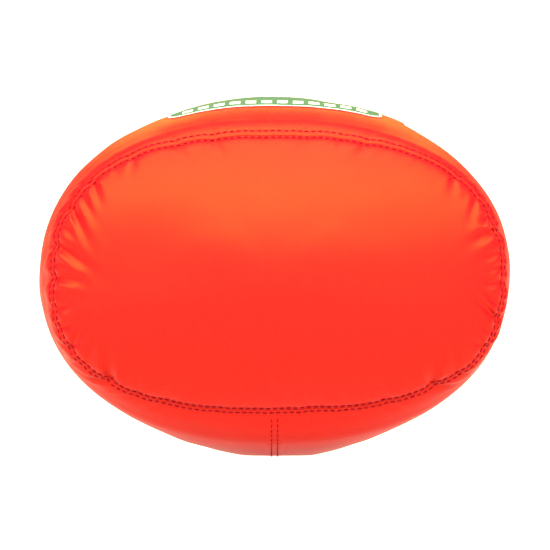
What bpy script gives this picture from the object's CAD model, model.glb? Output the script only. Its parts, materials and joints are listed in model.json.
"""Looks of the roll-top first aid bag: fabric, seams, label, roll, webbing and buckle.

Every length is in metres, in the row frame: +Z up, the oval base faces -Y, the roll is at +Y.
A station u is the distance from the apex of the bulging base, along +Y.
"""

import functools
import json
import math
import random

import bmesh
import bpy
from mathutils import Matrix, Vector, noise


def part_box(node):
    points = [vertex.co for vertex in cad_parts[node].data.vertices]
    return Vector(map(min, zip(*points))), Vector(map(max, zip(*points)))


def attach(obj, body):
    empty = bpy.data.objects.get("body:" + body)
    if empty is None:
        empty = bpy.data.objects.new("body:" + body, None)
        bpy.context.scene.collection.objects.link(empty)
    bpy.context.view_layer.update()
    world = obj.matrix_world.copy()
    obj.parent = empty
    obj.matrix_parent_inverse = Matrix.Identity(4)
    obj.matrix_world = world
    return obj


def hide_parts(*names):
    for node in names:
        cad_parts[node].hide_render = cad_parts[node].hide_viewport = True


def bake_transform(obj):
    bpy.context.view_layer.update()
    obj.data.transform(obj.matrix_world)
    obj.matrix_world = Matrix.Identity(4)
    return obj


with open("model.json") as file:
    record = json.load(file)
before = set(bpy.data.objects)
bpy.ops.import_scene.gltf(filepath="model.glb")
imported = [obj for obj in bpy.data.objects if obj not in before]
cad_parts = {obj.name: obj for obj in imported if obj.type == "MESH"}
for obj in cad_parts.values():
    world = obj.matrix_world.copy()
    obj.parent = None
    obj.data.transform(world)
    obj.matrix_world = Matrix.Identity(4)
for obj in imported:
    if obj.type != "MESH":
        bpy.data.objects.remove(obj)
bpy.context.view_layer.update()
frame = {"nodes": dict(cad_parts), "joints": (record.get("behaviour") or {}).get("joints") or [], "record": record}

MM = 0.001
joints = {joint["name"]: joint for joint in frame["joints"]}
base_low, base_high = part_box("base_panel")
roll_low, roll_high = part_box("roll_centre")

APEX_Y = base_low.y
AXIS_Z = joints["closure_fold"]["pos_m"][2]

# The bag's fabric
SEAM_U = base_high.y - APEX_Y
SEAM_LEFT = base_high.x - 3.2 * MM
SEAM_RIGHT = base_high.x - 0.7 * MM
SEAM_TOP = base_high.z - AXIS_Z - 1.5 * MM
SEAM_BOTTOM = base_high.z - AXIS_Z - 5.7 * MM
SEAM_SQUARENESS_ABOVE = 2.5
SEAM_SQUARENESS_BELOW = 2.62
SHOULDER_U = 150 * MM
TUBE_HALF_WIDTH = 136 * MM
COLUMNS = 720

# The roll
ROLL_HALF_THICKNESS = 7 * MM
ROLL_HALF_WIDTH = (roll_high.z - roll_low.z) / 2
ROLL_U = roll_low.y - APEX_Y + ROLL_HALF_THICKNESS
ROLL_STRAIGHT = 55 * MM
BEND_RADIUS = 22 * MM
BEND_FROM = math.radians(-90)
BEND_TO = math.radians(20)
BEND_LENGTH = BEND_RADIUS * (BEND_TO - BEND_FROM)
ARM_LENGTH = 39 * MM
ROLL_HALF_LENGTH = ROLL_STRAIGHT + BEND_LENGTH + ARM_LENGTH

# Sewing
STITCH_PITCH = 2.8 * MM
STITCH_LENGTH = 2.1 * MM
THREAD_RADIUS = 0.27 * MM
STITCH_LIFT = 0.16 * MM
FIRST_STITCH = 0.5 * MM
SEAM_SAMPLES = 1400
BACK_ROW = 1.25 * MM
INNER_ROW = 0.7 * MM
OUTER_ROW = 1.35 * MM
OUTER_ROW_DRIFT = 0.4 * MM

# Wall sections: station, half width, half height, squareness of the oval
WALL_SECTIONS = [
    (SEAM_U, SEAM_RIGHT, SEAM_TOP, 2.5),
    (32 * MM, 95.8 * MM, 65.4 * MM, 2.33),
    (45 * MM, 96.8 * MM, 70.8 * MM, 2.2),
    (62 * MM, 97.4 * MM, 73.7 * MM, 2.08),
    (85 * MM, 97.6 * MM, 74.9 * MM, 2.0),
    (110 * MM, 97.6 * MM, 74.9 * MM, 2.0),
    (132 * MM, 97.5 * MM, 74.4 * MM, 2.0),
    (SHOULDER_U, 97.2 * MM, 72.0 * MM, 2.0),
]
FULLER_ABOVE = 0.04
LEANER_BELOW = 0.155


def smooth(value, low, high):
    """0 below low, 1 above high, and an even curve between them."""
    t = min(max((value - low) / (high - low), 0.0), 1.0)
    return t * t * (3 - 2 * t)


def signed_power(value, exponent):
    """Power of a value's size, with the value's own sign."""
    return math.copysign(abs(value) ** exponent, value)


def blend_table(table, value):
    """Row of a table at a value of its first column, on a smooth curve through the rows."""
    rows = len(table)
    k = 0
    while k < rows - 2 and value > table[k + 1][0]:
        k += 1
    before = table[max(k - 1, 0)]
    low, high = table[k], table[k + 1]
    after = table[min(k + 2, rows - 1)]
    span = high[0] - low[0]
    t = min(max((value - low[0]) / span, 0.0), 1.0)
    result = []
    for c in range(1, len(low)):
        slope_low = (high[c] - before[c]) / (high[0] - before[0]) * span
        slope_high = (after[c] - low[c]) / (after[0] - low[0]) * span
        h00 = 2 * t**3 - 3 * t**2 + 1
        h10 = t**3 - 2 * t**2 + t
        h01 = 3 * t**2 - 2 * t**3
        h11 = t**3 - t**2
        result.append(h00 * low[c] + h10 * slope_low + h01 * high[c] + h11 * slope_high)
    return result


# ---------------------------------------------------------------- puckers along the base seam

# Pleats that can be told apart: direction from the middle in degrees, then depth, reach
# over the base, width, and drift along the seam over that reach, in millimetres.
MAIN_PLEATS = [
    (140.0, 0.9, 6, 1.6, 3.0),
    (145.5, 0.6, 5, 1.4, 1.5),
    (152.5, 1.5, 9, 1.6, 5.0),
    (157.0, 0.8, 13, 1.9, 7.0),
    (161.0, 2.2, 10, 1.9, 7.0),
    (166.5, 0.6, 6, 1.4, 2.0),
    (171.5, 2.5, 12, 2.3, 5.0),
    (176.5, 0.7, 5, 1.4, 0.5),
    (180.0, 2.2, 10, 1.8, 0.8),
    (188.0, 1.5, 7, 2.2, -1.0),
    (193.5, 0.8, 5, 1.8, -2.0),
    (199.0, 1.9, 9, 1.9, -6.0),
    (205.0, 0.8, 9, 1.7, -6.0),
    (211.6, 2.6, 10, 2.1, -8.0),
    (220.0, 0.7, 6, 1.4, -3.0),
    (228.0, 0.6, 6, 1.4, -2.0),
    (29.3, 1.1, 7, 1.6, -4.0),
    (22.0, 0.9, 8, 1.7, -6.0),
    (16.4, 1.0, 5, 1.5, -3.0),
    (12.3, 2.0, 9, 1.8, -2.0),
    (6.7, 1.0, 6, 1.6, -1.5),
    (3.0, 0.8, 7, 1.4, -2.0),
    (-1.0, 1.2, 8, 1.8, -1.0),
    (-7.4, 1.1, 8, 1.6, 4.5),
    (-10.2, 1.9, 10, 1.7, 5.0),
    (-14.5, 0.8, 7, 1.5, 4.0),
    (-18.5, 1.3, 8, 1.8, 4.0),
    (-27.5, 0.9, 8, 1.6, 5.0),
    (-33.5, 2.3, 9, 2.0, 5.0),
    (-41.0, 0.5, 5, 1.4, 2.0),
    (-48.0, 0.8, 5, 1.5, 1.0),
    (56.0, 0.7, 5, 1.5, 0.0),
    (64.0, 0.5, 5, 1.4, 0.0),
    (78.0, 0.4, 5, 1.4, 0.0),
    (114.0, 0.7, 6, 1.5, 0.0),
    (126.0, 0.5, 7, 1.4, 0.5),
]
PLEAT_BINS = 180
PLEAT_SPAN = 0.22
SMALL_PLEATS_SEED = 7
KINK_SHARE = 1.05
KINK_WIDTH = 3.4 * MM
GROOVE_WIDTH = 0.38 * MM
INNER_GROOVE = 0.5 * MM
OUTER_GROOVE = 0.4 * MM


def turn_between(a, b):
    """Smallest signed turn from b to a."""
    return (a - b + math.pi) % (2 * math.pi) - math.pi


def oval_radius(direction, half_width, half_height, squareness):
    """Distance from the axis to a superellipse, in a direction across the bag."""
    c = abs(math.cos(direction)) / half_width
    s = abs(math.sin(direction)) / half_height
    return (c**squareness + s**squareness) ** (-1 / squareness)


@functools.lru_cache(maxsize=None)
def plain_seam_radius(direction):
    """Seam without its kinks: each side of the bag has its own reach."""
    half_width = SEAM_RIGHT if math.cos(direction) > 0 else SEAM_LEFT
    above = math.sin(direction) > 0
    half_height = SEAM_TOP if above else SEAM_BOTTOM
    squareness = SEAM_SQUARENESS_ABOVE if above else SEAM_SQUARENESS_BELOW
    return oval_radius(direction, half_width, half_height, squareness)


def make_pleats():
    """All pleats: the main ones, and small ones all round at uneven distances."""
    rng = random.Random(SMALL_PLEATS_SEED)
    pleats = []
    for direction, depth, reach, width, drift in MAIN_PLEATS:
        angle = math.radians(direction % 360)
        pleats.append((angle, depth * MM, reach * MM, width * MM, drift * MM))
    angle = 0.0
    while angle < 2 * math.pi:
        depth = rng.uniform(0.1, 0.35) * MM
        reach = rng.uniform(4, 8) * MM
        width = rng.uniform(0.9, 1.6) * MM
        drift = rng.uniform(-1.0, 1.0) * MM
        pleats.append((angle, depth, reach, width, drift))
        angle += rng.uniform(4.5, 9.5) * MM / plain_seam_radius(angle)
    return pleats


def pleats_by_direction():
    """Pleats near each direction, so that a point only looks at its neighbours."""
    bins = [[] for _ in range(PLEAT_BINS)]
    for pleat in make_pleats():
        for k in range(PLEAT_BINS):
            if abs(turn_between(2 * math.pi * k / PLEAT_BINS, pleat[0])) < PLEAT_SPAN:
                bins[k].append(pleat)
    return bins


PLEATS_NEAR = pleats_by_direction()


def near_pleats(direction):
    """Pleats that can be felt in a direction."""
    return PLEATS_NEAR[int(direction / (2 * math.pi) * PLEAT_BINS) % PLEAT_BINS]


@functools.lru_cache(maxsize=None)
def seam_shape(direction):
    """Seam's radius without kinks, how far pleats draw it in, and its station."""
    radius = plain_seam_radius(direction)
    x_part, z_part = math.cos(direction), math.sin(direction)
    kink = 0.0
    for angle, depth, _, _, _ in near_pleats(direction):
        along = abs(turn_between(direction, angle)) * radius
        kink += KINK_SHARE * depth * math.exp(-((along / KINK_WIDTH) ** 1.3))
    wobble = 0.5 * noise.noise(Vector((2.6 * x_part, 2.6 * z_part, 3.1)))
    fine = 0.3 * MM * noise.noise(Vector((11 * x_part, 11 * z_part, 7.7)))
    sag = 1.0 * noise.noise(Vector((3 * x_part, 3 * z_part, 0.4)))
    return radius + (0.6 + wobble) * MM, kink - fine, SEAM_U + sag * MM


def pucker(direction, distance, reach_scale):
    """How far pleats press the fabric in: each a valley with a low ridge on either side."""
    radius = 0.9 * plain_seam_radius(direction)
    total = 0.0
    for angle, depth, reach, width, drift in near_pleats(direction):
        fade = distance / (reach * reach_scale)
        if fade > 2.4:
            continue
        across = turn_between(direction, angle) * radius - drift * fade * (0.6 + 0.4 * fade)
        s = across / (width * (0.6 + 0.6 * fade))
        valley = math.exp(-(s**2))
        valley -= 0.5 * math.exp(-((s - 1.7) ** 2))
        valley -= 0.3 * math.exp(-((s + 2.0) ** 2))
        total += depth * valley * math.exp(-(fade**2)) * smooth(distance, -1 * MM, 3 * MM)
    return total * smooth(distance, 0.0, 0.8 * MM)


def row_groove(distance, row, depth):
    """Shallow line that a row of stitches presses into the fabric."""
    return depth * math.exp(-(((distance - row) / GROOVE_WIDTH) ** 2))


def outer_row(direction):
    """Distance of the outer row behind the seam: wider above than below."""
    return OUTER_ROW + OUTER_ROW_DRIFT * math.sin(direction)


# ---------------------------------------------------------------- base panel

BULGE_POWER = 2.05
BASE_KINK_REACH = 4.5 * MM
PUFF_HEIGHT = 1.5 * MM
PUFF_START = 1.6 * MM
PUFF_END = 45 * MM


def base_point(direction, distance):
    """Point of the base panel at a distance inside the seam, with its folds."""
    smooth_radius, kink, seam_u = seam_shape(direction)
    share = max(1 - distance / smooth_radius, 0.0)
    radius = smooth_radius * share - kink * math.exp(-distance / BASE_KINK_REACH) * share
    x = radius * math.cos(direction)
    z = radius * math.sin(direction)
    u = seam_u * share**BULGE_POWER
    puff = 1 - math.exp(-distance / PUFF_START)
    u -= PUFF_HEIGHT * puff * (1 - smooth(distance, 8 * MM, PUFF_END))
    lumps = noise.noise(Vector((x * 16, z * 16, 2.0)))
    soft = noise.noise(Vector((x * 42, z * 42, 9.0)))
    u += (0.9 * lumps + 0.22 * soft) * MM * smooth(distance, 3 * MM, 25 * MM)
    u += pucker(direction, distance, 1.0) + row_groove(distance, INNER_ROW, INNER_GROOVE)
    return Vector((x, APEX_Y + u, AXIS_Z + z))


# ---------------------------------------------------------------- wall of the bag


CLOTH_THICKNESS = 0.4 * MM
BACK_SEAM_HALF = 3.2 * MM
BACK_SEAM_HEIGHT = 0.6 * MM
FLOOR_GAP = 0.15 * MM
SEAM_HOLD = 14 * MM
WALL_KINK_REACH = 4 * MM
LIP_HEIGHT = 0.9 * MM
LIP_START = 0.9 * MM
WALL_PUCKER_SHARE = 0.45
WALL_PUCKER_REACH = 0.7
TUCK_HEIGHT = 0.9 * MM


def oval_direction(turn, squareness, half_width, half_height):
    """Direction across the bag of a column of the wall."""
    x = half_width * signed_power(math.cos(turn), 2 / squareness)
    z = half_height * signed_power(math.sin(turn), 2 / squareness)
    return math.atan2(z, x) % (2 * math.pi)


def section_radius(direction, u):
    """Smooth wall: a little fuller than an ellipse above, a little leaner below."""
    half_width, half_height, squareness = blend_table(WALL_SECTIONS, u)
    rounding = smooth(u, SEAM_U, 60 * MM)
    squareness += rounding * (FULLER_ABOVE if math.sin(direction) > 0 else -LEANER_BELOW)
    return oval_radius(direction, half_width, half_height, squareness)


def tuck(direction, u):
    """Ridge of a tuck in the front of the bag, right of the label, with one steep side."""
    degrees = math.degrees(direction)
    rise = smooth(degrees, 49.2, 50.4) * (1 - smooth(degrees, 52, 74))
    return TUCK_HEIGHT * rise * smooth(u, 45 * MM, 80 * MM) * (1 - smooth(u, 110 * MM, 145 * MM))


def wall_point(direction, u, lift=0.0):
    """Point of the wall at a station between the seam and the shoulder."""
    smooth_radius, kink, seam_u = seam_shape(direction)
    distance = u - SEAM_U
    stay = 1 - smooth(distance, 0.0, SEAM_HOLD)
    radius = section_radius(direction, u)
    radius += (smooth_radius - section_radius(direction, SEAM_U)) * stay
    radius -= kink * math.exp(-distance / WALL_KINK_REACH)
    lip = 1 - math.exp(-distance / LIP_START)
    radius += LIP_HEIGHT * lip * (1 - smooth(distance, 3 * MM, 9 * MM))
    x_part, z_part = math.cos(direction), math.sin(direction)
    dents = noise.noise(Vector((x_part * 2.2, u * 13, z_part * 2.2)))
    soft = noise.noise(Vector((x_part * 7, u * 30, z_part * 7)))
    radius += (0.6 * dents + 0.25 * soft) * MM * smooth(distance, 4 * MM, 40 * MM)
    radius -= WALL_PUCKER_SHARE * pucker(direction, distance, WALL_PUCKER_REACH)
    radius -= row_groove(distance, outer_row(direction), OUTER_GROOVE)
    radius += tuck(direction, u) + lift
    x = radius * x_part
    z = radius * z_part
    if z < 0:
        ridge = 1 - smooth(abs(x), BACK_SEAM_HALF - 0.5 * MM, BACK_SEAM_HALF + 0.3 * MM)
        z -= BACK_SEAM_HEIGHT * ridge * smooth(distance, 1 * MM, 5 * MM)
        z = max(z, FLOOR_GAP - AXIS_Z)
    return Vector((x, APEX_Y + u + (seam_u - SEAM_U) * stay, AXIS_Z + z))


def roll_line(along):
    """Centre line of the U-shaped roll: point in x and u, and the direction out of the loop."""
    side = math.copysign(1, along)
    length = abs(along)
    bend_u = ROLL_U + BEND_RADIUS
    if length <= ROLL_STRAIGHT:
        point = (length, ROLL_U)
        out = (0.0, -1.0)
    else:
        angle = min(BEND_FROM + (length - ROLL_STRAIGHT) / BEND_RADIUS, BEND_TO)
        out = (math.cos(angle), math.sin(angle))
        point = (ROLL_STRAIGHT + BEND_RADIUS * out[0], bend_u + BEND_RADIUS * out[1])
        rest = length - ROLL_STRAIGHT - BEND_LENGTH
        if rest > 0:
            point = (point[0] - rest * out[1], point[1] + rest * out[0])
    return Vector((side * point[0], point[1])), Vector((side * out[0], out[1]))


UNDER_ROLL_DEPTH = 0.6 * MM
NECK_HALF_THICKNESS = 1.3 * MM
SHOULDER_CREST = 4 * MM
SHOULDER_FOLD_WIDTH = 15 * MM


def shoulder_point(turn, w):
    """Point of the wall between the shoulder, w = 0, and the underside of the roll, w = 1."""
    front = 1 if turn <= math.pi else -1
    share = turn / math.pi if front > 0 else 2 - turn / math.pi
    along = TUBE_HALF_WIDTH * (1 - 2 * share)
    centre, out = roll_line(along)
    half_width, half_height, squareness = blend_table(WALL_SECTIONS, SHOULDER_U)
    direction = oval_direction(turn, squareness, half_width, half_height)
    start = wall_point(direction, SHOULDER_U)
    edge = 1 - abs(1 - 2 * share)
    end_gap = ROLL_HALF_THICKNESS - UNDER_ROLL_DEPTH
    end = Vector((centre.x + out.x * end_gap, APEX_Y + centre.y + out.y * end_gap, AXIS_Z))
    end.z += front * (NECK_HALF_THICKNESS * smooth(edge, 0.0, 0.08))
    span = (end - start).length
    lean_out = Vector((out.x, out.y, 0)) * (0.10 + 0.16 * max(-out.y, 0)) * span
    crest = front * (SHOULDER_CREST + 0.05 * span) * smooth(edge, 0.0, 0.25)
    second = end + lean_out + Vector((0, 0, crest))
    first = start + Vector((0, 0.47 * span, 0))
    a, b, c, d = (1 - w) ** 3, 3 * w * (1 - w) ** 2, 3 * w**2 * (1 - w), w**3
    point = start * a + first * b + second * c + end * d
    return fold_shoulder(point, along, front, w)


def fold_shoulder(point, along, front, w):
    """Tension folds that run from the roll down over the shoulders."""
    grow = smooth(w, 0.05, 0.75) * (1 - smooth(w, 0.93, 1.0))
    wave = along / SHOULDER_FOLD_WIDTH + 1.1 * noise.noise(Vector((along * 18, w * 2, front * 3.3)))
    ripple = math.sin(wave * math.pi) + 0.5 * math.sin(wave * 2.3 * math.pi + front)
    crumple = noise.noise(Vector((along * 40, w * 5, front * 8.1)))
    height = (1.5 * ripple + 1.3 * crumple) * MM * grow
    edge = smooth(TUBE_HALF_WIDTH - abs(along), 0.0, 30 * MM)
    point.z += front * height * edge
    corner_noise = noise.noise(Vector((w * 9, front, math.copysign(4, along))))
    point.x += 2.2 * MM * grow * (1 - edge) * corner_noise
    return point


# ---------------------------------------------------------------- meshes


def new_piece(name, vertices, faces, uvs=None):
    """Smooth-shaded mesh object, with a weave map where uvs gives one point per vertex."""
    mesh = bpy.data.meshes.new(name)
    mesh.from_pydata([tuple(v) for v in vertices], [], faces)
    mesh.polygons.foreach_set("use_smooth", [True] * len(mesh.polygons))
    if uvs:
        layer = mesh.uv_layers.new(name="weave")
        for loop in mesh.loops:
            layer.data[loop.index].uv = uvs[loop.vertex_index]
    mesh.update()
    piece = bpy.data.objects.new(name, mesh)
    bpy.context.scene.collection.objects.link(piece)
    return piece


def grid_faces(rows, columns, closed=False):
    """Quads of a grid stored row by row; closed joins the last column to the first."""
    faces = []
    last = columns if closed else columns - 1
    for r in range(rows - 1):
        here = r * columns
        above = here + columns
        for c in range(last):
            d = (c + 1) % columns
            faces.append((here + c, here + d, above + d, above + c))
    return faces


def spaced(start, end, first_step, growth, largest):
    """Distances from start to end, close together at the start."""
    values = [start]
    step = first_step
    while values[-1] + step < end:
        values.append(values[-1] + step)
        step = min(step * growth, largest)
    values.append(end)
    return values


def ring_directions(u):
    """Direction of every column of the wall at a station."""
    half_width, half_height, squareness = blend_table(WALL_SECTIONS, u)
    turns = [2 * math.pi * k / COLUMNS for k in range(COLUMNS)]
    return [oval_direction(turn, squareness, half_width, half_height) for turn in turns]


def make_base_cloth():
    """Base panel from the seam inwards, closed by a fan in the middle."""
    vertices = []
    uvs = []
    shares = spaced(0.0, 0.96, 0.004, 1.06, 0.03)
    directions = ring_directions(SEAM_U)
    for share in shares:
        for direction in directions:
            point = base_point(direction, share * seam_shape(direction)[0])
            vertices.append(point)
            uvs.append((point.x, point.z))
    centre = len(vertices)
    middle = sum(vertices[-COLUMNS:], Vector()) / COLUMNS
    vertices.append(middle)
    uvs.append((middle.x, middle.z))
    faces = grid_faces(len(shares), COLUMNS, closed=True)
    last_row = (len(shares) - 1) * COLUMNS
    for k in range(COLUMNS):
        faces.append((last_row + k, last_row + (k + 1) % COLUMNS, centre))
    return new_piece("base_panel_cloth", vertices, faces, uvs)


SHOULDER_ROWS = 52
SHOULDER_CLOTH_LENGTH = 120 * MM


def make_wall_cloth():
    """Whole tube of the bag from the base seam to the underside of the roll."""
    vertices = []
    uvs = []
    stations = spaced(SEAM_U, SHOULDER_U, 0.35 * MM, 1.06, 3.0 * MM)
    shares = [k / SHOULDER_ROWS for k in range(1, SHOULDER_ROWS + 1)]
    turns = [2 * math.pi * k / COLUMNS for k in range(COLUMNS)]
    girth = 4 * TUBE_HALF_WIDTH
    for u in stations:
        for turn, direction in zip(turns, ring_directions(u)):
            vertices.append(wall_point(direction, u))
            uvs.append((turn * girth / (2 * math.pi), u))
    for w in shares:
        for turn in turns:
            vertices.append(shoulder_point(turn, w))
            uvs.append((turn * girth / (2 * math.pi), SHOULDER_U + w * SHOULDER_CLOTH_LENGTH))
    faces = grid_faces(len(stations) + len(shares), COLUMNS, closed=True)
    return new_piece("bag_wall_cloth", vertices, [face[::-1] for face in faces], uvs)


def keep_part(piece, name, cuts):
    """Copy of a piece cut by planes; a cut is a point and the direction that goes."""
    copy = piece.copy()
    copy.data = piece.data.copy()
    copy.name = name
    bpy.context.scene.collection.objects.link(copy)
    mesh = bmesh.new()
    mesh.from_mesh(copy.data)
    for point, away in cuts:
        parts = mesh.verts[:] + mesh.edges[:] + mesh.faces[:]
        bmesh.ops.bisect_plane(mesh, geom=parts, plane_co=point, plane_no=away, clear_outer=True)
    mesh.to_mesh(copy.data)
    mesh.free()
    return copy


def sweep(name, line, profile):
    """Sweep a closed profile of (side, normal) offsets along points, each with its two axes."""
    vertices = []
    for point, side, normal in line:
        for a, b in profile:
            vertices.append(point + side * a + normal * b)
    count = len(profile)
    faces = grid_faces(len(line), count, closed=True)
    faces.append(tuple(range(count))[::-1])
    faces.append(tuple(range((len(line) - 1) * count, len(line) * count)))
    return new_piece(name, vertices, faces)


def add_thickness(piece, thickness, offset=-1.0):
    """Second side for a sheet; an offset of -1 grows it inwards, 0 both ways."""
    modifier = piece.modifiers.new("thickness", "SOLIDIFY")
    modifier.thickness = thickness
    modifier.offset = offset
    modifier.use_even_offset = False


TAPE_LIFT = -1.0 * MM
TAPE_THICKNESS = 0.25 * MM


def make_seam_tape():
    """Sealing tape inside the bag, from 3 to 13 mm behind the base seam."""
    stations = [SEAM_U + k * MM for k in range(3, 14)]
    directions = ring_directions(SEAM_U)[::3]
    vertices = [wall_point(direction, u, TAPE_LIFT) for u in stations for direction in directions]
    faces = grid_faces(len(stations), len(directions), closed=True)
    tape = new_piece("base_seam_tape_film", vertices, faces)
    add_thickness(tape, TAPE_THICKNESS)
    return tape


# ---------------------------------------------------------------- roll


SPIRAL_TURNS = 3.25
SPIRAL_STEPS = 288
SPIRAL_SQUARENESS = 3.4
ROLL_ROWS = 150
ROLL_CLOTH_THICKNESS = 0.55 * MM
CREASE_PITCH = 5.6 * MM


def spiral_profile():
    """Flattened spiral of the rolled fabric, as (side, normal) offsets from the roll's middle."""
    profile = []
    for k in range(SPIRAL_STEPS + 1):
        q = k / SPIRAL_STEPS
        angle = math.pi / 2 + 2 * math.pi * SPIRAL_TURNS * (q - 1)
        side_reach = (10.7 + 2.0 * q) * MM
        normal_reach = (2.5 + 4.2 * q) * MM
        a = side_reach * signed_power(math.cos(angle), 2 / SPIRAL_SQUARENESS)
        b = normal_reach * signed_power(math.sin(angle), 2 / SPIRAL_SQUARENESS)
        profile.append((a, b))
    return profile


def make_roll_half(side, name):
    """Half of the rolled neck, from the middle to the end of one arm."""
    profile = spiral_profile()
    bend_end = ROLL_STRAIGHT + BEND_LENGTH
    vertices = []
    for r in range(ROLL_ROWS + 1):
        along = side * ROLL_HALF_LENGTH * r / ROLL_ROWS
        if along == 0:
            along = side * 1e-9
        centre, out = roll_line(along)
        bent = smooth(abs(along), ROLL_STRAIGHT - 6 * MM, ROLL_STRAIGHT + 6 * MM)
        bent *= 1 - smooth(abs(along), bend_end - 4 * MM, bend_end + 8 * MM)
        for k, (a, b) in enumerate(profile):
            q = k / (len(profile) - 1)
            crumple = noise.noise(Vector((along * 45, a * 60, q * 6 + side)))
            fold = noise.noise(Vector((along * 14, a * 25, 5 + q * 3)))
            crease = math.sin(abs(along) * 2 * math.pi / CREASE_PITCH + 2 * crumple)
            inner = smooth(-b, 0.0, ROLL_HALF_THICKNESS)
            swell = (0.30 * crumple + 0.45 * fold) * MM * q
            swell += 0.55 * MM * crease * bent * inner * q
            stretch = 1 + swell / ROLL_HALF_THICKNESS
            ending = smooth(ROLL_HALF_LENGTH - abs(along), 0.0, 3 * MM)
            slip = (1 - ending) * 1.2 * MM * noise.noise(Vector((q * 9, a * 30, side)))
            x = centre.x + out.x * b * stretch
            u = centre.y + out.y * b * stretch + slip
            z = a * (1 + 0.5 * swell / ROLL_HALF_WIDTH)
            vertices.append(Vector((x, APEX_Y + u, AXIS_Z + z)))
    faces = grid_faces(ROLL_ROWS + 1, len(profile))
    if side < 0:
        faces = [face[::-1] for face in faces]
    piece = new_piece(name, vertices, faces)
    add_thickness(piece, ROLL_CLOTH_THICKNESS, 0.0)
    return piece


# ---------------------------------------------------------------- webbing and stitches


def smooth_route(points, samples=12):
    """Round curve through the legs of a route: straight legs with each corner eased."""
    line = [points[0]]
    for before, corner, after in zip(points, points[1:], points[2:]):
        start = (before + corner) / 2
        end = (corner + after) / 2
        for k in range(samples + 1):
            t = k / samples
            line.append(start * (1 - t) ** 2 + corner * 2 * t * (1 - t) + end * t**2)
    line.append(points[-1])
    return line


STRAP_THICKNESS = 1.7 * MM
STRAP_HALF_WIDTH = 9.9 * MM
STRAP_POINTS_ACROSS = 14
STRAP_IN_ROLL = 11 * MM
STRAP_STEM = 4 * MM
BAR_RADIUS = 2.6 * MM
LOOP_OPENING = 0.85
LOOP_STEPS = 28
FLARE_STEPS = 7


def strap_profile():
    """Flat strap with rounded edges, as (side, normal) offsets."""
    thin = STRAP_THICKNESS / 2
    profile = []
    for face in (1, -1):
        for k in range(STRAP_POINTS_ACROSS + 1):
            a = face * (-STRAP_HALF_WIDTH + 2 * STRAP_HALF_WIDTH * k / STRAP_POINTS_ACROSS)
            profile.append((a, face * thin * (1 - 0.35 * (abs(a) / STRAP_HALF_WIDTH) ** 8)))
    return profile


def make_webbing(side, name):
    """Doubled strap from inside the roll's end, round the buckle's bar and back."""
    swing = joints["plug_swing" if side > 0 else "socket_swing"]["pos_m"]
    bar = Vector((swing[0], swing[1], AXIS_Z))
    centre, out = roll_line(side * ROLL_HALF_LENGTH)
    end = Vector((centre.x, APEX_Y + centre.y, AXIS_Z))
    arm = Vector((-side * abs(out.y), abs(out.x), 0))
    inside = end - arm * STRAP_IN_ROLL
    stem = end + arm * STRAP_STEM
    wrap = BAR_RADIUS + STRAP_THICKNESS / 2
    half_gap = STRAP_THICKNESS / 2 + 0.05 * MM
    middle = smooth_route([inside, stem, bar])
    run = (bar - stem).normalized()
    across = Vector((-run.y, run.x, 0))
    reach = (bar - middle[-2]).length
    outgoing = []
    returning = []
    for k in range(len(middle) - 1):
        tangent = (middle[k + 1] - middle[max(k - 1, 0)]).normalized()
        normal = Vector((-tangent.y, tangent.x, 0))
        outgoing.append(middle[k] + normal * half_gap)
        returning.append(middle[k] - normal * half_gap)
    flare = []
    for k in range(1, FLARE_STEPS):
        t = k / FLARE_STEPS
        point = bar - run * (reach * (1 - t) + wrap * 0.75 * t)
        flare.append((point, half_gap + (wrap * 0.66 - half_gap) * t**3))
    loop = [point + across * gap for point, gap in flare]
    for k in range(LOOP_STEPS + 1):
        turn = math.pi - LOOP_OPENING - (2 * math.pi - 2 * LOOP_OPENING) * k / LOOP_STEPS
        loop.append(bar + run * wrap * math.cos(turn) + across * wrap * math.sin(turn))
    loop += [point - across * gap for point, gap in reversed(flare)]
    points = outgoing + loop + returning[::-1]
    line = []
    up = Vector((0, 0, 1))
    for k, point in enumerate(points):
        following = points[min(k + 1, len(points) - 1)]
        tangent = (following - points[max(k - 1, 0)]).normalized()
        line.append((point, up, Vector((-tangent.y, tangent.x, 0))))
    return sweep(name, line, strap_profile())


# Rings of a stitch: share of its length, then girth and lift in thread radii
STITCH_RINGS = [
    (0.0, 0.35, -0.9),
    (0.1, 0.85, -0.1),
    (0.32, 1.0, 0.45),
    (0.68, 1.0, 0.45),
    (0.9, 0.85, -0.1),
    (1.0, 0.35, -0.9),
]
THREAD_SIDES = 6


def add_stitch(vertices, faces, start, end, normal):
    """One stitch: a short thread that dives into the fabric at both ends."""
    run = end - start
    side = run.cross(normal).normalized()
    first = len(vertices)
    for share, girth, lift in STITCH_RINGS:
        centre = start + run * share + normal * lift * THREAD_RADIUS
        for k in range(THREAD_SIDES):
            angle = 2 * math.pi * k / THREAD_SIDES
            offset = side * math.cos(angle) + normal * math.sin(angle)
            vertices.append(centre + offset * THREAD_RADIUS * girth)
    for face in grid_faces(len(STITCH_RINGS), THREAD_SIDES, closed=True):
        faces.append(tuple(first + k for k in face))
    last = first + (len(STITCH_RINGS) - 1) * THREAD_SIDES
    faces.append(tuple(first + k for k in range(THREAD_SIDES))[::-1])
    faces.append(tuple(last + k for k in range(THREAD_SIDES)))


def stitch_along(name, points, normals):
    """Row of stitches at an even pitch along points on the fabric."""
    vertices = []
    faces = []
    travelled = 0.0
    next_start = FIRST_STITCH
    start = None
    for k in range(1, len(points)):
        step = (points[k] - points[k - 1]).length
        while True:
            goal = next_start if start is None else next_start + STITCH_LENGTH
            if travelled + step < goal:
                break
            t = (goal - travelled) / step
            place = points[k - 1].lerp(points[k], t)
            if start is None:
                start = place
            else:
                add_stitch(vertices, faces, start, place, normals[k])
                start = None
                next_start += STITCH_PITCH
        travelled += step
    return new_piece(name, vertices, faces)


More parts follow.
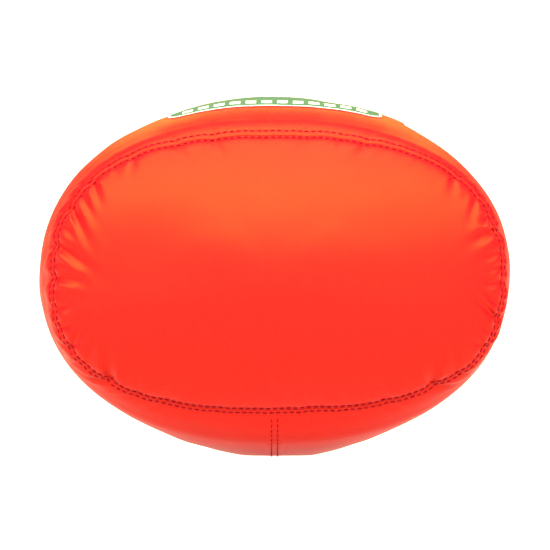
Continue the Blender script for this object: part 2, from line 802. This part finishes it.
def outward(surface, a, b, da, db, away):
    """Normal of a surface function of two parameters, on the side of away."""
    point = surface(a, b)
    across = surface(a + da, b) - point
    down = surface(a, b + db) - point
    normal = across.cross(down).normalized()
    return normal if normal.dot(away) > 0 else -normal


def make_seam_stitches():
    """One row on the base panel and one on the wall, on either side of the base seam."""
    rows = []
    for name, surface, row_at in (
        ("base_stitches_inner", base_point, lambda direction: INNER_ROW),
        ("base_stitches_outer", wall_point, lambda direction: SEAM_U + outer_row(direction)),
    ):
        points = []
        normals = []
        for k in range(SEAM_SAMPLES + 1):
            direction = 2 * math.pi * k / SEAM_SAMPLES
            distance = row_at(direction)
            away = Vector((math.cos(direction), -1.2, math.sin(direction)))
            normal = outward(surface, direction, distance, 0.02, 1.2 * MM, away)
            points.append(surface(direction, distance) + normal * STITCH_LIFT)
            normals.append(normal)
        rows.append(stitch_along(name, points, normals))
    return rows


def back_point(x, u):
    """Point on the seam in the middle of the back."""
    if u > SHOULDER_U:
        point = shoulder_point(1.5 * math.pi, (u - SHOULDER_U) / (100 * MM))
    else:
        half_height = blend_table(WALL_SECTIONS, u)[1]
        point = wall_point(math.atan2(-half_height, x) % (2 * math.pi), u)
    point.x = x
    return point


def make_back_stitches():
    """Two rows that hold the seam in the middle of the back."""
    rows = []
    for name, x in (("back_stitches_left", -BACK_ROW), ("back_stitches_right", BACK_ROW)):
        points = []
        u = SEAM_U + 2.0 * MM
        while u < SHOULDER_U + 20 * MM:
            points.append(back_point(x, u))
            u += 1 * MM
        rows.append(stitch_along(name, points, [Vector((0, 0, -1))] * len(points)))
    return rows


# ---------------------------------------------------------------- label

LABEL_HALF_WIDTH = 43.8 * MM
LABEL_FROM = 45.5 * MM
LABEL_TO = 140 * MM
LABEL_CORNER = 6 * MM
LABEL_BORDER = 1.1 * MM
CORNER_STEPS = 8
SIDE_STEPS = 40
PANEL_INSET = 0.15 * MM
PANEL_LIFT = 0.28 * MM
PANEL_THICKNESS = 0.3 * MM
PRINT_LIFT = 0.42 * MM
PRINT_THICKNESS = 0.2 * MM
CROSS_MIDDLE = 109 * MM
CROSS_ARM = 20 * MM
CROSS_HALF_BAR = 6.7 * MM
MARK_COUNT = 12
MARK_PITCH = 6.5 * MM
MARK_HALF_WIDTH = 2.2 * MM
MARK_FROM = LABEL_FROM + 5.5 * MM
MARK_LENGTH = 7.5 * MM


def front_point(x, u, lift):
    """Point on the front of the bag at an x and a station."""
    half_width, half_height, squareness = blend_table(WALL_SECTIONS, u)
    share = min(abs(x) / half_width, 1.0)
    z = half_height * (1 - share**squareness) ** (1 / squareness)
    return wall_point(math.atan2(z, x), u, lift)


def outline_half_width(u, inset):
    """Half width of the label's rounded outline at a station."""
    half = LABEL_HALF_WIDTH - inset
    corner = LABEL_CORNER - inset
    edge = min(u - (LABEL_FROM + inset), LABEL_TO - inset - u)
    if edge >= corner:
        return half
    return half - corner + math.sqrt(max(corner**2 - (corner - edge) ** 2, 0.0))


def patch(vertices, faces, half_width_at, centre_x, u_from, u_to, lift, columns, rows):
    """Grid laid on the bag's front between two stations."""
    first = len(vertices)
    for r in range(rows + 1):
        u = u_from + (u_to - u_from) * r / rows
        half = half_width_at(u)
        for c in range(columns + 1):
            x = centre_x + half * (2 * c / columns - 1)
            vertices.append(front_point(x, u, lift))
    for face in grid_faces(rows + 1, columns + 1):
        faces.append(tuple(first + k for k in face))


def outline_points(inset):
    """Points round the label's outline, at even steps of its rounded rectangle."""
    corner = LABEL_CORNER - inset
    right = LABEL_HALF_WIDTH - LABEL_CORNER
    low, high = LABEL_FROM + LABEL_CORNER, LABEL_TO - LABEL_CORNER
    arcs = []
    for x, u, start in ((right, high, 0), (-right, high, 90), (-right, low, 180), (right, low, 270)):
        angles = [math.radians(start + 90 * k / CORNER_STEPS) for k in range(CORNER_STEPS + 1)]
        arcs.append([(x + corner * math.cos(a), u + corner * math.sin(a)) for a in angles])
    points = []
    for arc, following in zip(arcs, arcs[1:] + arcs[:1]):
        points += arc
        here, goal = arc[-1], following[0]
        for step in range(1, SIDE_STEPS):
            t = step / SIDE_STEPS
            points.append((here[0] + (goal[0] - here[0]) * t, here[1] + (goal[1] - here[1]) * t))
    return points


def make_label_panel():
    vertices = []
    faces = []
    half_width_at = functools.partial(outline_half_width, inset=PANEL_INSET)
    start, end = LABEL_FROM + PANEL_INSET, LABEL_TO - PANEL_INSET
    patch(vertices, faces, half_width_at, 0.0, start, end, PANEL_LIFT, 60, 60)
    panel = new_piece("label_panel_cloth", vertices, faces)
    add_thickness(panel, PANEL_THICKNESS)
    return panel


def add_bar(vertices, faces, centre_x, half_width, start, end, columns, rows):
    """Printed rectangle between two stations."""
    patch(vertices, faces, lambda u: half_width, centre_x, start, end, PRINT_LIFT, columns, rows)


def make_label_print():
    """White print of the label: its border, a plain cross and a row of plain bars."""
    outline = outline_points(0.0) + outline_points(LABEL_BORDER)
    vertices = [front_point(x, u, PRINT_LIFT) for x, u in outline]
    faces = []
    count = len(outline) // 2
    for k in range(count):
        m = (k + 1) % count
        faces.append((k, m, count + m, count + k))
    bar, arm = CROSS_HALF_BAR, CROSS_ARM
    add_bar(vertices, faces, 0.0, bar, CROSS_MIDDLE - arm, CROSS_MIDDLE + arm, 8, 24)
    for side in (-1, 1):
        centre_x = side * (arm + bar) / 2
        half_width = (arm - bar) / 2
        add_bar(vertices, faces, centre_x, half_width, CROSS_MIDDLE - bar, CROSS_MIDDLE + bar, 8, 8)
    for k in range(MARK_COUNT):
        centre_x = (k - (MARK_COUNT - 1) / 2) * MARK_PITCH
        add_bar(vertices, faces, centre_x, MARK_HALF_WIDTH, MARK_FROM, MARK_FROM + MARK_LENGTH, 3, 5)
    film = new_piece("label_print_film", vertices, faces)
    add_thickness(film, PRINT_THICKNESS)
    return film


# ---------------------------------------------------------------- materials


def shader(name, color, roughness, specular, sheen=0.0):
    """Material with its node tree and main shader node."""
    material = bpy.data.materials.new(name)
    material.use_nodes = True
    bsdf = material.node_tree.nodes["Principled BSDF"]
    bsdf.inputs["Base Color"].default_value = (*color, 1)
    bsdf.inputs["Roughness"].default_value = roughness
    bsdf.inputs["Specular IOR Level"].default_value = specular
    bsdf.inputs["Sheen Weight"].default_value = sheen
    return material, material.node_tree, bsdf


def coordinates(tree, use_uv=False):
    """Place on the piece in metres: in space, or along the fabric's own threads."""
    node = tree.nodes.new("ShaderNodeTexCoord")
    return node.outputs["UV" if use_uv else "Object"]


def noise_texture(tree, source, scale, detail=3.0):
    node = tree.nodes.new("ShaderNodeTexNoise")
    node.inputs["Scale"].default_value = scale
    node.inputs["Detail"].default_value = detail
    tree.links.new(source, node.inputs["Vector"])
    return node.outputs["Fac"]


def wave_texture(tree, source, scale, direction):
    node = tree.nodes.new("ShaderNodeTexWave")
    node.wave_type = "BANDS"
    node.bands_direction = direction
    node.inputs["Scale"].default_value = scale
    tree.links.new(source, node.inputs["Vector"])
    return node.outputs["Fac"]


def ramp(tree, source, low, high, low_color, high_color):
    """Colour that goes from one to the other as the source goes from low to high."""
    node = tree.nodes.new("ShaderNodeValToRGB")
    node.color_ramp.elements[0].position = low
    node.color_ramp.elements[0].color = (*low_color, 1)
    node.color_ramp.elements[1].position = high
    node.color_ramp.elements[1].color = (*high_color, 1)
    tree.links.new(source, node.inputs["Fac"])
    return node.outputs["Color"]


def map_range(tree, source, low, high):
    """Value from 0 to 1 stretched to lie between low and high."""
    node = tree.nodes.new("ShaderNodeMapRange")
    node.inputs["To Min"].default_value = low
    node.inputs["To Max"].default_value = high
    tree.links.new(source, node.inputs["Value"])
    return node.outputs["Result"]


def combine(tree, a, b, operation):
    """Two values joined by a math operation."""
    node = tree.nodes.new("ShaderNodeMath")
    node.operation = operation
    tree.links.new(a, node.inputs[0])
    tree.links.new(b, node.inputs[1])
    return node.outputs["Value"]


def bump(tree, bsdf, height, strength, distance):
    node = tree.nodes.new("ShaderNodeBump")
    node.inputs["Strength"].default_value = strength
    node.inputs["Distance"].default_value = distance
    tree.links.new(height, node.inputs["Height"])
    tree.links.new(node.outputs["Normal"], bsdf.inputs["Normal"])


def varied(tree, bsdf, source, color, amount):
    """Slight variation of a colour over the surface."""
    low = tuple(c * (1 - amount) for c in color)
    high = tuple(min(c * (1 + amount), 1.0) for c in color)
    tree.links.new(ramp(tree, source, 0.3, 0.7, low, high), bsdf.inputs["Base Color"])


WEAVE_SCALE = 420


def nylon_material(name, color):
    """Coated nylon: fine plain weave, soft crinkles and a broad orange gloss."""
    material, tree, bsdf = shader(name, color, 0.45, specular=0.14)
    bsdf.inputs["Specular Tint"].default_value = (1.0, 0.95, 0.12, 1)
    weave_source = coordinates(tree, use_uv=True)
    place = coordinates(tree)
    warp = wave_texture(tree, weave_source, WEAVE_SCALE, "X")
    weft = wave_texture(tree, weave_source, WEAVE_SCALE, "Y")
    weave = combine(tree, warp, weft, "MULTIPLY")
    crinkle = noise_texture(tree, place, 60, 4.0)
    patchy = noise_texture(tree, place, 22, 2.0)
    height = combine(tree, weave, combine(tree, crinkle, crinkle, "ADD"), "ADD")
    bump(tree, bsdf, height, 0.16, 0.0002)
    varied(tree, bsdf, patchy, color, 0.04)
    tree.links.new(map_range(tree, crinkle, 0.42, 0.5), bsdf.inputs["Roughness"])
    return material


def thread_material(name, color):
    """Twisted sewing thread."""
    material, tree, bsdf = shader(name, color, 0.6, specular=0.05)
    place = coordinates(tree)
    twist = wave_texture(tree, place, 900, "DIAGONAL")
    bump(tree, bsdf, twist, 0.5, 0.0001)
    varied(tree, bsdf, noise_texture(tree, place, 300), color, 0.18)
    return material


def webbing_material(name, color):
    """Narrow woven strap with ribs across it."""
    material, tree, bsdf = shader(name, color, 0.62, specular=0.25, sheen=0.25)
    place = coordinates(tree)
    ribs = wave_texture(tree, place, 330, "X")
    lines = wave_texture(tree, place, 260, "Z")
    bump(tree, bsdf, combine(tree, ribs, lines, "MULTIPLY"), 0.8, 0.0004)
    varied(tree, bsdf, noise_texture(tree, place, 180), color, 0.2)
    return material


def plastic_material(name, color, roughness=0.4, grain=900, specular=0.4):
    """Moulded plastic with a fine grain and slight handling wear."""
    material, tree, bsdf = shader(name, color, roughness, specular=specular)
    place = coordinates(tree)
    fine = noise_texture(tree, place, grain, 2.0)
    wear = noise_texture(tree, place, 70, 4.0)
    bump(tree, bsdf, fine, 0.25, 0.0002)
    varied(tree, bsdf, wear, color, 0.12)
    tree.links.new(map_range(tree, wear, roughness - 0.08, roughness + 0.14), bsdf.inputs["Roughness"])
    return material


def print_material(name, color):
    """Screen print on the fabric: smooth ink with the weave just showing."""
    material, tree, bsdf = shader(name, color, 0.6, specular=0.1)
    place = coordinates(tree)
    warp = wave_texture(tree, place, WEAVE_SCALE, "X")
    weft = wave_texture(tree, place, WEAVE_SCALE, "Y")
    ink = noise_texture(tree, place, 120, 3.0)
    bump(tree, bsdf, combine(tree, warp, weft, "MULTIPLY"), 0.2, 0.0002)
    varied(tree, bsdf, ink, color, 0.05)
    return material


def gauze_material(name, color):
    """Open cotton weave of bandages and dressings."""
    material, tree, bsdf = shader(name, color, 0.8, specular=0.15, sheen=0.3)
    place = coordinates(tree)
    warp = wave_texture(tree, place, 240, "X")
    weft = wave_texture(tree, place, 240, "Y")
    bump(tree, bsdf, combine(tree, warp, weft, "ADD"), 0.7, 0.0005)
    varied(tree, bsdf, noise_texture(tree, place, 90), color, 0.06)
    return material


NYLON = (0.29, 0.0015, 0.0075)
MATERIALS = {
    "shell_fabric": nylon_material("coated_nylon", NYLON),
    "label_green": print_material("green_print", (0.016, 0.068, 0.064)),
    "label_white": print_material("white_print", (0.41, 0.37, 0.5)),
    "thread": thread_material("red_thread", (0.13, 0.001, 0.01)),
    "webbing": webbing_material("black_webbing", (0.018, 0.018, 0.02)),
    "buckle_plastic": plastic_material("black_acetal", (0.016, 0.016, 0.018)),
    "seam_tape": plastic_material("clear_tape", (0.62, 0.58, 0.52), 0.3, 300),
    "stiffener_plastic": plastic_material("grey_plastic", (0.03, 0.03, 0.032), 0.45, 500),
    "elastic_bandage": gauze_material("skin_bandage", (0.66, 0.45, 0.27)),
    "white_cotton": gauze_material("white_gauze", (0.85, 0.84, 0.8)),
    "packet_paper": plastic_material("packet_paper", (0.8, 0.82, 0.84), 0.55, 350),
    "case_plastic": plastic_material("blue_plastic", (0.03, 0.14, 0.34), 0.35, 700),
    "foil": plastic_material("gold_foil", (0.62, 0.45, 0.12), 0.25, 160, 0.8),
    "glove_rubber": plastic_material("blue_rubber", (0.1, 0.23, 0.6), 0.6, 250),
    "foam": plastic_material("splint_foam", (0.05, 0.1, 0.33), 0.8, 420, 0.2),
    "cardboard": plastic_material("cardboard", (0.45, 0.34, 0.22), 0.85, 260, 0.15),
}


def paint(piece, slot_name):
    piece.data.materials.clear()
    piece.data.materials.append(MATERIALS[slot_name])


def finish_piece(piece, slot_name, body=None):
    """Material, record slot and, for a piece on one body, its ride."""
    paint(piece, slot_name)
    if body:
        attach(piece, body)


# ---------------------------------------------------------------- the bag put together

for subpart in frame["record"]["subparts"]:
    paint(frame["nodes"][subpart["node"]], subpart["material_slot"])

base_cloth = make_base_cloth()
add_thickness(base_cloth, CLOTH_THICKNESS)
finish_piece(base_cloth, "shell_fabric", "bag")
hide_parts("base_panel")

tube_cloth = make_wall_cloth()
CUT_U = ROLL_U - ROLL_HALF_THICKNESS + 2.5 * MM
cut_point = Vector((0, APEX_Y + CUT_U, AXIS_Z))
wall_cloth = keep_part(tube_cloth, "bag_cloth", [(cut_point, Vector((0, 1, 0)))])
add_thickness(wall_cloth, CLOTH_THICKNESS)
finish_piece(wall_cloth, "shell_fabric")
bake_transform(wall_cloth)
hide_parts("bag_body", "neck_sleeve")

for side, word in ((-1, "left"), (1, "right")):
    ear_cuts = [(cut_point, Vector((0, -1, 0))), (Vector((0, 0, 0)), Vector((-side, 0, 0)))]
    ear = keep_part(tube_cloth, f"{word}_corner_cloth", ear_cuts)
    add_thickness(ear, CLOTH_THICKNESS)
    finish_piece(ear, "shell_fabric")
    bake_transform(ear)
    roll = make_roll_half(side, f"{word}_roll_cloth")
    finish_piece(roll, "shell_fabric")
    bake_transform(roll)
    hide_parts(f"roll_end_{word}")
    strap = make_webbing(side, f"{word}_webbing_strap")
    finish_piece(strap, "webbing", f"{word}_arm")
    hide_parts(f"webbing_tab_{word}")
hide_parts("roll_centre")
bpy.data.objects.remove(tube_cloth)

seam_tape = make_seam_tape()
finish_piece(seam_tape, "seam_tape", "bag")
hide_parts("base_seam_tape")

for row in make_seam_stitches() + make_back_stitches():
    finish_piece(row, "thread", "bag")

label_panel = make_label_panel()
label_marks = make_label_print()
finish_piece(label_panel, "label_green", "bag")
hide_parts("label_panel")
finish_piece(label_marks, "label_white", "bag")
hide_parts("label_print")


# ---------------------------------------------------------------- floor, light and camera


def plain_material(name, color, glow_color, glow):
    """Matt surface that is also lit from within, like a light table."""
    material, _, bsdf = shader(name, color, 0.9, specular=0.1)
    bsdf.inputs["Emission Color"].default_value = (*glow_color, 1)
    bsdf.inputs["Emission Strength"].default_value = glow
    return material


FLOOR_HALF_WIDTH = 7.0
FLOOR_FRONT_Y = -6.0
FLOOR_Z = -0.4 * MM
BACKDROP_Y = 8.0
BACKDROP_HALF_WIDTH = 1.2
BACKDROP_HEIGHT = 1.0


def make_stage():
    """Pale floor and, far behind the bag, a pale wall with a light of its own."""
    material = plain_material("pale_floor", (0.32, 0.32, 0.32), (1.0, 0.74, 0.61), 1.7)
    for name, half, near, far_z in (
        ("floor", FLOOR_HALF_WIDTH, FLOOR_FRONT_Y, 0.0),
        ("backdrop", BACKDROP_HALF_WIDTH, BACKDROP_Y, BACKDROP_HEIGHT),
    ):
        front = [Vector((x, near, FLOOR_Z)) for x in (-half, half)]
        back = [Vector((x, BACKDROP_Y, FLOOR_Z + far_z)) for x in (half, -half)]
        panel = new_piece(name, front + back, [(0, 1, 2, 3)])
        panel.data.materials.append(material)


def add_area_light(name, place, target, size, power, color):
    """Rectangular light at a place, turned to its target."""
    data = bpy.data.lights.new(name, "AREA")
    data.shape = "RECTANGLE"
    data.size, data.size_y = size
    data.energy = power
    data.color = color
    light = bpy.data.objects.new(name, data)
    light.location = place
    light.rotation_euler = (Vector(target) - Vector(place)).to_track_quat("-Z", "Y").to_euler()
    bpy.context.scene.collection.objects.link(light)


def set_world(color, strength):
    """Even light from all round."""
    world = bpy.data.worlds.new("studio")
    world.use_nodes = True
    background = world.node_tree.nodes["Background"]
    background.inputs["Color"].default_value = (*color, 1)
    background.inputs["Strength"].default_value = strength
    bpy.context.scene.world = world


KEY_ELEVATION = math.radians(46)
KEY_DISTANCE = 1.8
KEY_LEFT = 0.04
KEY_DIRECTION = Vector((-KEY_LEFT, -math.cos(KEY_ELEVATION), math.sin(KEY_ELEVATION)))

# Lights on the bag: name, place from the middle of the bag, size, watts and colour
BAG_LIGHTS = [
    ("key", KEY_DIRECTION * KEY_DISTANCE, (4.4, 1.5), 365, (1.0, 0.98, 0.55)),
    ("top", Vector((0.0, -0.15, 1.6)), (1.0, 0.5), 30, (1.0, 0.95, 0.5)),
    ("rim", Vector((0.0, 1.6, 0.9)), (1.2, 0.6), 12, (1.0, 0.8, 0.1)),
    ("side_left", Vector((-1.3, 1.4, 0.45)), (1.0, 0.9), 11, (1.0, 0.6, 0.25)),
    ("side_right", Vector((1.3, 1.4, 0.45)), (1.0, 0.9), 11, (1.0, 0.6, 0.25)),
    ("fill", Vector((0.0, -2.6, 0.35)), (1.4, 0.9), 2, (1.0, 0.85, 0.8)),
]

make_stage()
bag_centre = Vector((0, APEX_Y + 20 * MM, AXIS_Z))
for name, offset, size, power, color in BAG_LIGHTS:
    add_area_light(name, bag_centre + offset, bag_centre, size, power, color)
backdrop_place = (0, BACKDROP_Y - 1.5, 2.6)
backdrop_target = (0, BACKDROP_Y, 0.4)
add_area_light("backdrop_light", backdrop_place, backdrop_target, (2.4, 0.6), 28, (1.0, 1.0, 1.0))
set_world((1.0, 0.96, 0.7), 0.17)

CAMERA_DISTANCE = 5.0
CAMERA_X = 0.2 * MM
CAMERA_RISE = 1.2 * MM
SENSOR = 36.0
FRAME_WIDTH = 0.2250
camera_data = bpy.data.cameras.new("camera")
camera_data.sensor_width = SENSOR
camera_data.lens = SENSOR * CAMERA_DISTANCE / FRAME_WIDTH
camera_data.clip_end = 30
camera = bpy.data.objects.new("camera", camera_data)
camera.location = (CAMERA_X, APEX_Y - CAMERA_DISTANCE, AXIS_Z + CAMERA_RISE)
camera.rotation_euler = (math.pi / 2, 0, 0)
bpy.context.scene.collection.objects.link(camera)
bpy.context.scene.camera = camera
bpy.context.scene.view_settings.view_transform = "Standard"
